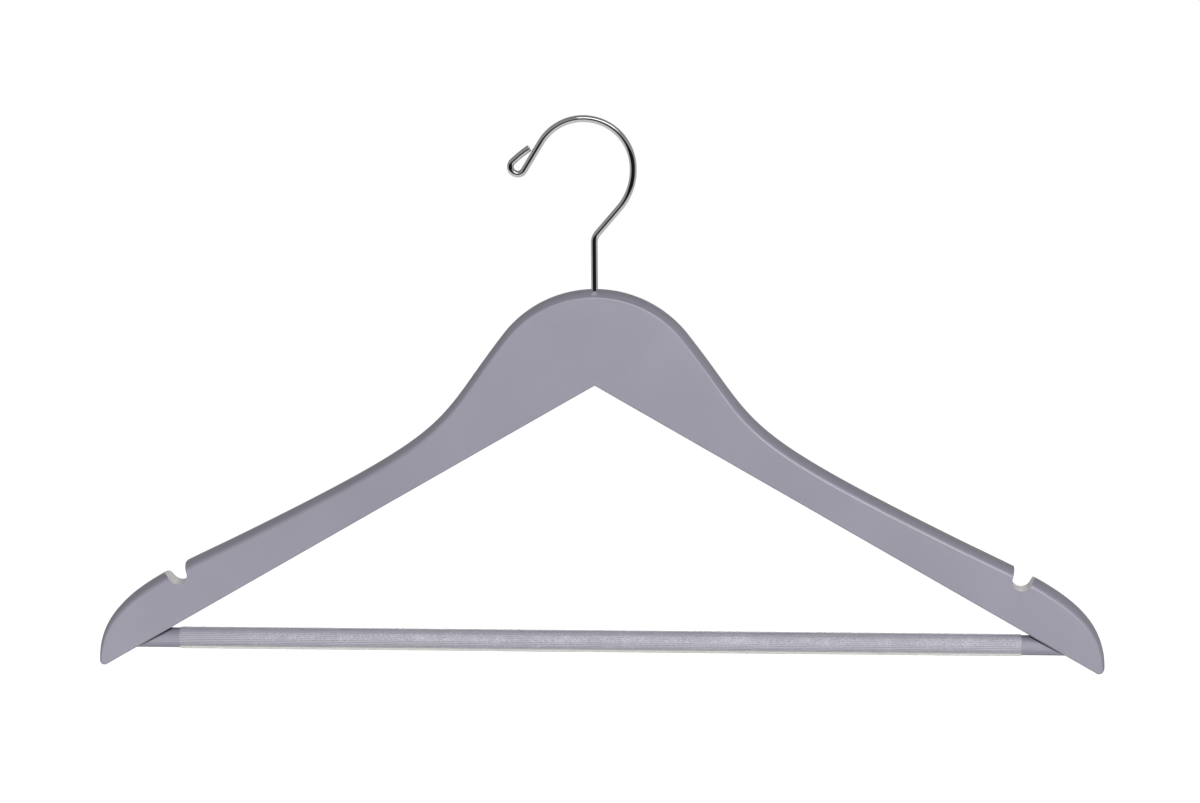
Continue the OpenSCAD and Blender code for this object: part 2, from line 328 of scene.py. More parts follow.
# the big box burns the wire out to white, so the hook is left out of its light further on
boxReceivers = bpy.data.collections.new("wireOnly")
bpy.data.objects["cameraBox"].light_linking.receiver_collection = boxReceivers
print("camera, light and floor set")


filmValues = {
    "cloudScale": 0.028,
    "mottleScale": 0.22,
    "mottleShare": 0.1,
    "peelScale": 1.6,
    "peelHeight": 0.6,
    "streakHeight": 1.5,
    "roughSwing": 0.05,
}


# soft blotches, a fine orange peel and the grain that shows through a sprayed film
def buildPaintFilm(values):
    group, gin, gout = newGroup(
        "paintFilm",
        {"Vector": "v", "Along Grain": "v", "Colour": "c", "Blotch": "f", "Grain": "f", "Roughness": "f"},
        {"Colour": "c", "Roughness": "f", "Height": "f"},
    )
    link = group.links.new
    share = values["mottleShare"]
    cloud = noiseNode(group, gin.outputs["Vector"], values["cloudScale"], 4, 0.55)
    mottle = noiseNode(group, gin.outputs["Vector"], values["mottleScale"], 3, 0.5)
    peel = noiseNode(group, gin.outputs["Vector"], values["peelScale"], 2, 0.5)
    fibre = noiseNode(group, gin.outputs["Along Grain"], 1.0, 3, 0.6)
    shade = plusNode(group, timesNode(group, cloud, 1 - share), timesNode(group, mottle, share))
    shade = timesNode(group, minusNode(group, shade, 0.5), gin.outputs["Blotch"])
    streak = timesNode(group, minusNode(group, fibre, 0.5), gin.outputs["Grain"])
    brightness = plusNode(group, plusNode(group, shade, streak), 1.0)
    hue = newNode(group, "ShaderNodeHueSaturation")
    link(gin.outputs["Colour"], hue.inputs["Color"])
    link(brightness, hue.inputs["Value"])
    link(hue.outputs["Color"], gout.inputs["Colour"])
    swing = timesNode(group, minusNode(group, cloud, 0.5), values["roughSwing"])
    link(plusNode(group, gin.outputs["Roughness"], swing), gout.inputs["Roughness"])
    peel = timesNode(group, peel, values["peelHeight"])
    streak = timesNode(group, streak, values["streakHeight"])
    link(plusNode(group, peel, streak), gout.inputs["Height"])
    return group


scratchValues = {
    "lines": ((18, 0.9), (-31, 1.3), (74, 0.7)),  # turn in degrees and scale of each crossing set
    "tilt": 0.7,
    "stretch": (0.25, 5.0, 5.0),
    "edge": (0.62, 0.72),
}


# fine crossing scratches for bright metal
def buildScratches(values):
    group, gin, gout = newGroup("scratches", {"Vector": "v", "Amount": "f"}, {"Mask": "f", "Height": "f"})
    link = group.links.new
    total = None
    for turn, scale in values["lines"]:
        angle = math.radians(turn)
        mapping = newNode(group, "ShaderNodeMapping")
        mapping.inputs["Rotation"].default_value = (angle, angle * values["tilt"], angle)
        mapping.inputs["Scale"].default_value = values["stretch"]
        link(gin.outputs["Vector"], mapping.inputs["Vector"])
        line = noiseNode(group, mapping.outputs["Vector"], scale, 2, 0.6)
        line = rangeNode(group, line, *values["edge"])
        total = line if total is None else mathNode(group, "MAXIMUM", total, line)
    mask = timesNode(group, total, gin.outputs["Amount"])
    link(mask, gout.inputs["Mask"])
    link(timesNode(group, mask, -1.0), gout.inputs["Height"])
    return group


paintFilm = buildPaintFilm(filmValues)
scratches = buildScratches(scratchValues)


paintValues = {
    "colour": (0.266, 0.254, 0.311, 1),
    "roughness": 0.29,
    "gloss": 0.60,
    "blotch": 0.16,
    "grain": 0.03,
    "grainStretch": (0.04, 1.3, 1.3),
    "bump": 0.05,
    "bumpDepth": 0.08 * mm,
    # a pale spot in front of the shank, in mm from the middle of the board and below the crown
    "paleSpot": (0.62, 0.60, 0.66, 1),
    "paleSpotPlace": (-3.6, -1.2),
    "paleSpotEdge": (0.5, 1.7),
    "paleSpotMost": 0.5,
}


def paintMaterial(name, turn, values):
    material, tree, shader = newMaterial(name)
    link = tree.links.new
    depth, drop = values["paleSpotPlace"]
    spot = newNode(tree, "ShaderNodeVectorMath", operation="DISTANCE")
    link(millimetres(tree), spot.inputs[0])
    spot.inputs[1].default_value = (axisX / mm, depth, crownZ / mm + drop)
    # a pale spot mixed into the paint on the crown's front edge, in front of the shank
    paleSpot = rangeNode(tree, spot.outputs["Value"], *values["paleSpotEdge"], values["paleSpotMost"], 0.0)
    film = placeGroup(tree, paintFilm, {
        "Vector": millimetres(tree),
        "Along Grain": millimetres(tree, (0, turn, 0), values["grainStretch"]),
        "Colour": values["colour"],
        "Blotch": values["blotch"],
        "Grain": values["grain"],
        "Roughness": values["roughness"],
    })
    link(mixColour(tree, paleSpot, film.outputs["Colour"], values["paleSpot"]), shader.inputs["Base Color"])
    link(film.outputs["Roughness"], shader.inputs["Roughness"])
    bump = bumpNode(tree, film.outputs["Height"], values["bump"], values["bumpDepth"])
    link(bump, shader.inputs["Normal"])
    shader.inputs["Specular IOR Level"].default_value = values["gloss"]
    return material


woodValues = {
    "pale": (1.0, 0.98, 0.99, 1),
    "dark": (0.80, 0.76, 0.77, 1),
    "torn": (0.60, 0.56, 0.56, 1),
    "pore": (0.34, 0.28, 0.25, 1),
    "roughness": 0.72,
    "gloss": 0.3,
    "bump": 0.5,
    "bumpDepth": 0.3 * mm,
}

# painted shade: the inside of the bar's sockets, coloured near black for the shade in the gap round the bar
socketShadeValues = {
    **woodValues,
    "pale": (0.10, 0.085, 0.075, 1),
    "dark": (0.04, 0.033, 0.03, 1),
    "torn": (0.02, 0.017, 0.015, 1),
    "roughness": 0.8,
}


# bare wood with open pores, torn here and there by the cutter's marks
def woodMaterial(name, turn, values):
    material, tree, shader = newMaterial(name)
    link = tree.links.new
    along = millimetres(tree, (0, turn, 0), (0.12, 1.6, 1.6))
    grain = noiseNode(tree, along, 1.0, 4, 0.6, 0.4)
    pores = rangeNode(tree, noiseNode(tree, along, 3.0, 2, 0.7), 0.62, 0.75)
    chatter = newNode(tree, "ShaderNodeTexWave", wave_type="BANDS", bands_direction="Z", Scale=1.1)
    chatter.inputs["Distortion"].default_value = 3.0
    chatter.inputs["Detail"].default_value = 1
    link(millimetres(tree), chatter.inputs["Vector"])
    colour = mixColour(tree, rangeNode(tree, grain, 0.35, 0.7), values["pale"], values["dark"])
    colour = mixColour(tree, timesNode(tree, pores, 0.5), colour, values["pore"])
    torn = rangeNode(tree, plusNode(tree, chatter.outputs["Fac"], grain), 1.1, 1.5, 0, 0.6)
    colour = mixColour(tree, torn, colour, values["torn"])
    link(colour, shader.inputs["Base Color"])
    height = plusNode(tree, timesNode(tree, chatter.outputs["Fac"], 0.5), grain)
    link(bumpNode(tree, height, values["bump"], values["bumpDepth"]), shader.inputs["Normal"])
    rough = rangeNode(tree, grain, 0, 1, values["roughness"] - 0.1, values["roughness"] + 0.1)
    link(rough, shader.inputs["Roughness"])
    shader.inputs["Specular IOR Level"].default_value = values["gloss"]
    return material


metalValues = {
    "hazed": (0.45, 0.45, 0.47, 1),
    "hazeShare": 0.25,
    "hazeRough": 1.8,
    "scratchRough": 0.18,
    "bumpDepth": 0.02 * mm,
}
chromeValues = {
    **metalValues, "colour": (0.84, 0.84, 0.86, 1), "roughness": 0.04, "scratches": 0.25, "bump": 0.01,
}
zincValues = {
    **metalValues, "colour": (0.60, 0.60, 0.62, 1), "roughness": 0.34, "scratches": 0.7, "bump": 0.3,
}


def metalMaterial(name, values):
    material, tree, shader = newMaterial(name)
    link = tree.links.new
    where = millimetres(tree)
    marks = placeGroup(tree, scratches, {"Vector": where, "Amount": values["scratches"]})
    haze = noiseNode(tree, where, 0.35, 3, 0.6)
    rough = rangeNode(tree, haze, 0.3, 0.7, values["roughness"], values["roughness"] * values["hazeRough"])
    rough = plusNode(tree, rough, timesNode(tree, marks.outputs["Mask"], values["scratchRough"]))
    link(rough, shader.inputs["Roughness"])
    tint = mixColour(tree, timesNode(tree, haze, values["hazeShare"]), values["colour"], values["hazed"])
    link(tint, shader.inputs["Base Color"])
    bump = bumpNode(tree, marks.outputs["Height"], values["bump"], values["bumpDepth"])
    link(bump, shader.inputs["Normal"])
    shader.inputs["Metallic"].default_value = 1
    return material


vinylValues = {
    # painted light: dull colours the tube's top and grey the rest, a split by height for how light falls on it;
    # white is for painted highlights, cream for a painted glow along the bottom edge
    "dull": (0.62, 0.60, 0.70, 1),
    "grey": (0.52, 0.505, 0.59, 1),
    "white": (0.87, 0.86, 0.94, 1),
    "glowFromBelow": (1.0, 0.97, 0.93, 1),
    "clear": 0.42,
    "glintsCover": 0.4,
    "glowFromBelowCover": 0.88,
    "roughness": 0.30,
    "roughSwing": 0.25,
    "ribs": 36,
    "bump": 0.5,
    "bumpDepth": 0.3 * mm,
    # where each zone of painted light fades in or out, in mm above the bar's middle
    "bandFoot": (0.0, 1.0),
    "bandHead": (3.5, 3.1),
    "lowEdge": (-2.3, -3.1),
    # the left end has fewer painted highlight flecks, over these mm from the sleeve's end
    "fleckFadeRun": (8, 45),
    "fleckFadeLeast": 0.3,
}


# clear ribbed tube with painted light: white flecks and white lines on the ridges are painted highlights, most
# of all in a band along its front; the bottom edge has a painted glow of light from below; the top gets a
# colour of its own
def vinylMaterial(values):
    material, tree, shader = newMaterial("clearVinyl")
    link = tree.links.new
    where = millimetres(tree)
    along = millimetres(tree, (0, 0, 0), (0.6, 2.4, 2.4))
    split = newNode(tree, "ShaderNodeSeparateXYZ")
    link(where, split.inputs["Vector"])
    height = minusNode(tree, split.outputs["Z"], barZ / mm)
    turn = mathNode(tree, "ARCTAN2", height, split.outputs["Y"])
    ridge = mathNode(tree, "COSINE", timesNode(tree, turn, values["ribs"]))
    ridge = rangeNode(tree, ridge, -1, 1)
    fleck = noiseNode(tree, along, 1.8, 4, 0.75)
    cloud = noiseNode(tree, where, 0.09, 3, 0.6)
    grit = noiseNode(tree, where, 3.0, 2, 0.8)
    # painted light: the zones below are picked by height round the tube, as light falls on it
    under = rangeNode(tree, height, *values["bandHead"])
    band = timesNode(tree, rangeNode(tree, height, *values["bandFoot"]), under)
    fleckFadeFrom, fleckFadeTo = (sleeveLow.x / mm + run for run in values["fleckFadeRun"])
    fleckFade = rangeNode(tree, split.outputs["X"], fleckFadeFrom, fleckFadeTo, values["fleckFadeLeast"], 1.0)
    # painted highlights: white flecks from noise, more in the band along the front and fewer at the left end
    glints = plusNode(tree, timesNode(tree, fleck, 0.55), timesNode(tree, grit, 0.45))
    glints = plusNode(tree, glints, timesNode(tree, minusNode(tree, cloud, 0.5), 0.2))
    glints = plusNode(tree, glints, timesNode(tree, band, 0.07))
    glints = timesNode(tree, rangeNode(tree, glints, 0.51, 0.66, 0, 0.9), fleckFade)
    # painted highlights: white lines along the rib ridges, fainter on the top
    line = timesNode(tree, rangeNode(tree, ridge, 0.2, 0.9), rangeNode(tree, under, 0, 1, 0.25, 0.5))
    glints = mathNode(tree, "MAXIMUM", glints, line)
    # painted glow: the bottom edge is coloured cream and made more opaque, for light from below showing through
    # the tube
    lowEdge = rangeNode(tree, height, *values["lowEdge"])
    colour = mixColour(tree, under, values["dull"], values["grey"])
    colour = mixColour(tree, glints, colour, values["white"])
    colour = mixColour(tree, lowEdge, colour, values["glowFromBelow"])
    link(colour, shader.inputs["Base Color"])
    cover = plusNode(tree, values["clear"], timesNode(tree, glints, values["glintsCover"]))
    cover = mathNode(tree, "MAXIMUM", cover, timesNode(tree, lowEdge, values["glowFromBelowCover"]))
    link(cover, shader.inputs["Alpha"])
    rough = values["roughness"]
    rough = rangeNode(tree, fleck, 0.35, 0.65, rough, rough + values["roughSwing"])
    link(rough, shader.inputs["Roughness"])
    bump = bumpNode(tree, plusNode(tree, glints, ridge), values["bump"], values["bumpDepth"])
    link(bump, shader.inputs["Normal"])
    shader.inputs["IOR"].default_value = 1.5
    return material


dowelValues = {
    "blotch": 0.12,
    "grain": 0.22,
    "grainStretch": (0.03, 2.2, 2.2),
    "roughness": 0.45,
    "gloss": 0.4,
    "bump": 0.4,
    "bumpDepth": 0.2 * mm,
    # near-black painted shade for the bar where it meets the arms, and the settings of that mask below
    "paintedShade": (0.012, 0.011, 0.012, 1),
    "paintedShadeMost": 0.9,
    "paintedShadeWidth": 0.5,
    "paintedShadeTaper": 0.11,
    "paintedShadeRough": 0.4,
    "paintedShadeFoot": 4,
}


def dowelMaterial(values):
    material, tree, shader = newMaterial("paintedDowel")
    link = tree.links.new
    film = placeGroup(tree, paintFilm, {
        "Vector": millimetres(tree),
        "Along Grain": millimetres(tree, (0, 0, 0), values["grainStretch"]),
        "Colour": paintValues["colour"],
        "Blotch": values["blotch"],
        "Grain": values["grain"],
        "Roughness": values["roughness"],
    })
    # painted shade: the bar's paint is darkened where the arms' lower edges meet it, most on top, where the
    # arms shade the bar
    split = newNode(tree, "ShaderNodeSeparateXYZ")
    link(millimetres(tree), split.inputs["Vector"])
    fall = math.radians(armFall)
    aside = mathNode(tree, "ABSOLUTE", minusNode(tree, split.outputs["X"], axisX / mm))
    edge = minusNode(tree, (crownZ - crownDrop) / mm, timesNode(tree, aside, math.tan(fall)))
    below = timesNode(tree, minusNode(tree, edge, split.outputs["Z"]), math.cos(fall))
    above = minusNode(tree, split.outputs["Z"], barZ / mm - values["paintedShadeFoot"])
    below = minusNode(tree, below, timesNode(tree, above, values["paintedShadeTaper"]))
    paintedShade = rangeNode(tree, below, 0.0, values["paintedShadeWidth"], values["paintedShadeMost"], 0)
    link(mixColour(tree, paintedShade, film.outputs["Colour"], values["paintedShade"]), shader.inputs["Base Color"])
    rough = plusNode(tree, film.outputs["Roughness"], timesNode(tree, paintedShade, values["paintedShadeRough"]))
    link(rough, shader.inputs["Roughness"])
    bump = bumpNode(tree, film.outputs["Height"], values["bump"], values["bumpDepth"])
    link(bump, shader.inputs["Normal"])
    shader.inputs["Specular IOR Level"].default_value = values["gloss"]
    return material


leftPaint = paintMaterial("greyPaintLeft", -armFall, paintValues)
rightPaint = paintMaterial("greyPaintRight", armFall, paintValues)
leftWood = woodMaterial("bareWoodLeft", -armFall, woodValues)
rightWood = woodMaterial("bareWoodRight", armFall, woodValues)
# painted shade for the insides of the bar's sockets
shadedSocketWood = woodMaterial("socketPaintedShade", 0, socketShadeValues)
dowelPaint = dowelMaterial(dowelValues)
chrome = metalMaterial("chromePlate", chromeValues)
zinc = metalMaterial("zincPlate", zincValues)
clearVinyl = vinylMaterial(vinylValues)
print("materials made")


def finishPiece(bm, name, materials, body, node, smoothAngle=35, weighted=True):
    bmesh.ops.remove_doubles(bm, verts=bm.verts, dist=1e-7)
    bmesh.ops.recalc_face_normals(bm, faces=bm.faces)
    mesh = bpy.data.meshes.new(name)
    bm.to_mesh(mesh)
    bm.free()
    for material in materials:
        mesh.materials.append(material)
    mesh.shade_smooth()
    mesh.set_sharp_from_angle(angle=math.radians(smoothAngle))
    piece = bpy.data.objects.new(name, mesh)
    scene.collection.objects.link(piece)
    if weighted:
        normals = piece.modifiers.new("faceNormals", "WEIGHTED_NORMAL")
        normals.keep_sharp = True
        normals.weight = 80
    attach(piece, body)
    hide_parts(node)
    return piece


# an outline in the board's plane, drawn out from one depth to another
def prism(points, y0, y1, material=0):
    bm = bmesh.new()
    face = bm.faces.new([bm.verts.new((x, y0, z)) for x, z in points])
    made = bmesh.ops.extrude_face_region(bm, geom=[face], use_keep_orig=True)
    verts = [g for g in made["geom"] if isinstance(g, bmesh.types.BMVert)]
    bmesh.ops.translate(bm, verts=verts, vec=(0, y1 - y0, 0))
    bmesh.ops.recalc_face_normals(bm, faces=bm.faces)
    for f in bm.faces:
        f.material_index = material
    return bm


def rod(radius, start, end, segments=64, material=0):
    start, end = Vector(start), Vector(end)
    way = end - start
    bm = bmesh.new()
    bmesh.ops.create_cone(
        bm, cap_ends=True, cap_tris=False, segments=segments, radius1=radius, radius2=radius, depth=way.length
    )
    turn = way.to_track_quat("Z", "Y").to_matrix().to_4x4()
    bmesh.ops.transform(bm, matrix=Matrix.Translation((start + end) / 2) @ turn, verts=bm.verts)
    for f in bm.faces:
        f.material_index = material
    return bm


# a rod that stands on the hanger's plane
def uprightRod(radius, x, z0, z1, segments=64, material=0):
    return rod(radius, (x, 0, z0), (x, 0, z1), segments, material)


def middleX(node):
    low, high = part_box(node)
    return (low.x + high.x) / 2


def roundEdges(bm, edges, offset, segments, material=-1):
    bmesh.ops.bevel(
        bm, geom=edges, offset=offset, segments=segments, profile=0.5, affect="EDGES", material=material
    )


def rimEdges(bm):
    steep = math.radians(60)
    return [e for e in bm.edges if len(e.link_faces) == 2 and e.calc_face_angle(0) > steep]


# the vertices that an extrusion made, and the edges between them
def farEnd(made):
    verts = [g for g in made["geom"] if isinstance(g, bmesh.types.BMVert)]
    ends = set(verts)
    edges = [g for g in made["geom"] if isinstance(g, bmesh.types.BMEdge) and ends.issuperset(g.verts)]
    return verts, edges


def toolObject(bm, name):
    mesh = bpy.data.meshes.new(name)
    bm.to_mesh(mesh)
    bm.free()
    tool = bpy.data.objects.new(name, mesh)
    scene.collection.objects.link(tool)
    return tool


# cuts with the tools in order, and gives the result as a bmesh
def carve(bm, cuts):
    work = toolObject(bm, "work")
    tools = []
    for i, (operation, cutter) in enumerate(cuts):
        tool = toolObject(cutter, "tool%d" % i)
        tools.append(tool)
        cut = work.modifiers.new("cut%d" % i, "BOOLEAN")
        cut.operation = operation
        cut.object = tool
        cut.solver = "EXACT"
        cut.material_mode = "INDEX"
    bpy.context.view_layer.update()
    result = bmesh.new()
    result.from_object(work, bpy.context.evaluated_depsgraph_get())
    for o in [work] + tools:
        mesh = o.data
        bpy.data.objects.remove(o)
        bpy.data.meshes.remove(mesh)
    return result


# the third material of an arm is painted shade for the bar's sockets
paintSlot, woodSlot, shadeSlot = 0, 1, 2  # materials of an arm

boardValues = {
    "crownHeight": crownDrop,
    "crownRadius": 49.5 * mm,
    "crownSweep": 52.0,
    "armFall": armFall,
    "armWidth": 19.2 * mm,
    "shoulderFall": 26.5,
    "tipRun": 62.0 * mm,
    "tipEndRadius": 2.3 * mm,
    # the front half of the top edge is an arc that meets the face at a small round
    "topCamber": 7.5 * mm,
    "crownArris": 1.0 * mm,
    "armArris": 2.3 * mm,
    "backRound": 1.8 * mm,
    "lowRound": 0.8 * mm,
    "endShare": 0.42,
    "cutEase": 0.16 * mm,
    "cutEaseAngle": 0.5,
    # how far the fair curves follow their ends' directions
    "neckPull": 0.35,
    "shoulderPull": 0.75,
    "tipPull": 0.58,
    "endPull": 0.44,
    "notchLean": 14.0,
    # radius, depth of its centre, place along the tip, flare of the far wall, radius of the lip
    "leftNotch": (3.9 * mm, 3.1 * mm, 0.3, 16.0, 1.9 * mm),
    "rightNotch": (4.2 * mm, 2.8 * mm, 0.302, 2.0, 0.5 * mm),
    "lipSteps": 8,
    "fingerReach": 4.0 * mm,
    "fingerPitch": 5.0 * mm,
    "fingerTip": 1.2 * mm,
    "crownSteps": 26,
    "neckSteps": 44,
    "tipSteps": 44,
    "endSteps": 10,
    "notchSteps": 40,
    "arrisSteps": 7,
    "camberSteps": 7,
    "backSteps": 6,
    "boreRadius": 1.53 * mm,
    "boreSides": 48,
    "mouthRadius": 1.85 * mm,
    "mouthDepth": 1.4 * mm,
    "wellRadius": 3.7 * mm,
    "wellHeight": 10.0 * mm,
    "socketGap": 0.12 * mm,
    "mouthGap": 0.5 * mm,
    "socketRun": 40 * mm,
    "bradSides": 24,
}


# the direction that falls by an angle, as the right arm does
def falling(angle):
    return Vector((math.cos(math.radians(angle)), -math.sin(math.radians(angle))))


# a fair curve that leaves a along u and comes into b along v
def sweep(a, u, b, v, t):
    s = 1 - t
    return a * s ** 3 + (a + u) * 3 * t * s ** 2 + (b - v) * 3 * t * t * s + b * t ** 3


def heading(a, u, b, v, t):
    return (u * (1 - t) ** 2 + (b - v - a - u) * 2 * t * (1 - t) + v * t * t).normalized()


# stations of the right half from the crown to the inner corner, each with its shares of top
# edge and of arm
def halfOutline(v):
    cornerZ = crownZ - v["crownHeight"]
    fall = math.radians(v["armFall"])
    crownCentre = Vector((0, crownZ - v["crownRadius"]))

    def lowEdge(x):
        return cornerZ - x * math.tan(fall)

    def onCrown(angle):
        turn = math.radians(angle)
        return crownCentre + v["crownRadius"] * Vector((math.sin(turn), math.cos(turn)))

    crownEnd = onCrown(v["crownSweep"])
    tipX = halfSpan - v["tipRun"]
    shoulder = Vector((tipX, lowEdge(tipX) + v["armWidth"] / math.cos(fall)))
    run = (shoulder - crownEnd).length
    shoulderWay = falling(v["shoulderFall"])
    neckOut = run * v["neckPull"] * falling(v["crownSweep"])
    neck = (crownEnd, neckOut, shoulder, run * v["shoulderPull"] * shoulderWay)
    endX = halfSpan - v["tipEndRadius"]
    endCentre = Vector((endX, lowEdge(endX) + v["tipEndRadius"] / math.cos(fall)))
    endTop = Vector((halfSpan, endCentre.y))
    endTurn = 90 + v["armFall"]
    tip = (shoulder, v["tipRun"] * v["tipPull"] * shoulderWay, endTop, v["tipRun"] * v["endPull"] * falling(90))

    path = []
    for i in range(v["crownSteps"]):
        path.append((onCrown(v["crownSweep"] * i / v["crownSteps"]), 1, 0))
    for i in range(v["neckSteps"]):
        share = i / v["neckSteps"]
        path.append((sweep(*neck, share), 1, min(1, share * 1.6)))
    for i in range(v["tipSteps"]):
        share = i / v["tipSteps"]
        fade = max(0, 2 * share - 1) ** 1.5
        path.append((sweep(*tip, share), 1 - (1 - v["endShare"]) * fade, 1))
    for i in range(v["endSteps"]):
        share = i / v["endSteps"]
        place = endCentre + v["tipEndRadius"] * falling(endTurn * share)
        path.append((place, v["endShare"] * (1 - share), 1))
    path.append((endCentre + v["tipEndRadius"] * falling(endTurn), 0, 1))
    path.append((Vector((0, cornerZ)), 0, 1))
    return path, tip, cornerZ


# round at the bottom, with a leaning wall on the arm's side and beyond it a flared one with a
# round lip
def notchOutline(v, tip, notch):
    radius, sink, share, flareAngle, lipRadius = notch
    at = sweep(*tip, share)
    way = heading(*tip, share)
    up = Vector((-way.y, way.x))
    centre = at - sink * up
    lean = math.radians(v["notchLean"])
    wall = Vector((math.sin(lean), math.cos(lean)))
    wallFoot = centre + radius * Vector((-math.cos(lean), math.sin(lean)))
    flare = math.cos(math.radians(flareAngle)) * up + math.sin(math.radians(flareAngle)) * way
    flareOut = Vector((flare.y, -flare.x))
    flareFoot = centre + radius * flareOut
    nearLip = share + radius / v["tipRun"]
    lipWay = heading(*tip, nearLip)
    lipUp = Vector((-lipWay.y, lipWay.x))
    sunk = sweep(*tip, nearLip) - lipRadius * lipUp
    slide = (lipRadius - (sunk - flareFoot).dot(flareOut)) / lipWay.dot(flareOut)
    lipCentre = sunk + lipWay * slide
    lipTurn = math.acos(-lipUp.dot(flareOut))
    startTurn = math.pi - lean
    endTurn = math.atan2(flareOut.y, flareOut.x) + 2 * math.pi
    points = []
    for i in range(v["notchSteps"] + 1):
        turn = startTurn + (endTurn - startTurn) * i / v["notchSteps"]
        points.append(centre + radius * Vector((math.cos(turn), math.sin(turn))))
    for i in range(v["lipSteps"] + 1):
        turn = lipTurn * (1 - i / v["lipSteps"])
        points.append(lipCentre + lipRadius * (math.cos(turn) * lipUp - math.sin(turn) * lipWay))
    clear = 3 * radius
    points += [points[-1] + clear * lipUp, wallFoot + clear * wall]
    return points


# one station's way over the edge, from the front face to the back one, as depths into the
# board and how far inward
def edgeProfile(top, arm, v):
    half, camber, low = boardT / 2, v["topCamber"], v["lowRound"]
    arris = v["crownArris"] + (v["armArris"] - v["crownArris"]) * arm
    drop = camber - math.sqrt((camber - arris) ** 2 - (half - arris) ** 2)
    meet = math.asin((half - arris) / (camber - arris))
    pairs = []  # a point of the top edge's profile with one of the low edge's
    for i in range(v["arrisSteps"] + 1):
        share = i / v["arrisSteps"]
        turn = (math.pi / 2 - meet) * share
        high = (-half + arris * (1 - math.cos(turn)), drop - arris * math.sin(turn))
        turn = math.pi / 2 * share
        pairs.append((high, (-half + low * (1 - math.cos(turn)), low - low * math.sin(turn))))
    for i in range(1, v["camberSteps"] + 1):
        share = i / v["camberSteps"]
        turn = meet * (1 - share)
        high = (-camber * math.sin(turn), camber * (1 - math.cos(turn)))
        pairs.append((high, ((low - half) * (1 - share), 0)))
    for i in range(v["backSteps"] + 1):
        turn = math.pi / 2 * i / v["backSteps"]
        across, inward = 1 - math.sin(turn), 1 - math.cos(turn)
        pairs.append(tuple((half - r * across, r * inward) for r in (v["backRound"], low)))
    return [(a[0] * top + b[0] * (1 - top), a[1] * top + b[1] * (1 - top)) for a, b in pairs]


# a ring of edges drawn over the board's edge station by station
def buildBoard(values):
    half, tip, cornerZ = halfOutline(values)
    right = [(Vector((axisX + p.x, p.y)), top, arm) for p, top, arm in half]
    left = [(Vector((2 * axisX - p.x, p.y)), top, arm) for p, top, arm in right[-2:0:-1]]
    ring = right + left
    count = len(ring)
    inward = []
    for i, (p, _, _) in enumerate(ring):
        before = (p - ring[i - 1][0]).normalized()
        after = (ring[(i + 1) % count][0] - p).normalized()
        a, b = Vector((before.y, -before.x)), Vector((after.y, -after.x))
        mitre = (a + b).normalized()
        inward.append(mitre / mitre.dot(a))
    profiles = [edgeProfile(top, arm, values) for _, top, arm in ring]

    def place(i, k):
        depth, inset = profiles[i][k]
        p, way = ring[i][0], inward[i]
        return p.x + way.x * inset, depth, p.y + way.y * inset

    bm = bmesh.new()
    verts = [bm.verts.new(place(i, 0)) for i in range(count)]
    bm.faces.new(verts)
    edges = [bm.edges.get((verts[i], verts[(i + 1) % count])) for i in range(count)]
    for k in range(1, len(profiles[0])):
        moved = set(farEnd(bmesh.ops.extrude_edge_only(bm, edges=edges))[0])
        verts = [next(o for o in (e.other_vert(v) for e in v.link_edges) if o in moved) for v in verts]
        for i, v in enumerate(verts):
            v.co = place(i, k)
        edges = [bm.edges.get((verts[i], verts[(i + 1) % count])) for i in range(count)]
    bm.faces.new(verts[::-1])
    bmesh.ops.recalc_face_normals(bm, faces=bm.faces)
    return bm, tip, cornerZ


# outline of everything on the left of the glued fingers
def fingerLine(values):
    reach, pitch, tip = values["fingerReach"], values["fingerPitch"], values["fingerTip"]
    slope = pitch / 2 - tip
    farX = axisX - halfSpan * 1.2
    z = crownZ + pitch
    points = [(farX, z)]
    while z > crownZ - values["crownHeight"] - pitch:
        points += [(axisX + reach, z), (axisX + reach, z - tip)]
        points += [(axisX - reach, z - tip - slope), (axisX - reach, z - 2 * tip - slope)]
        z -= pitch
    points += [(axisX + reach, z), (axisX, z - halfSpan), (farX, z - halfSpan)]
    return points


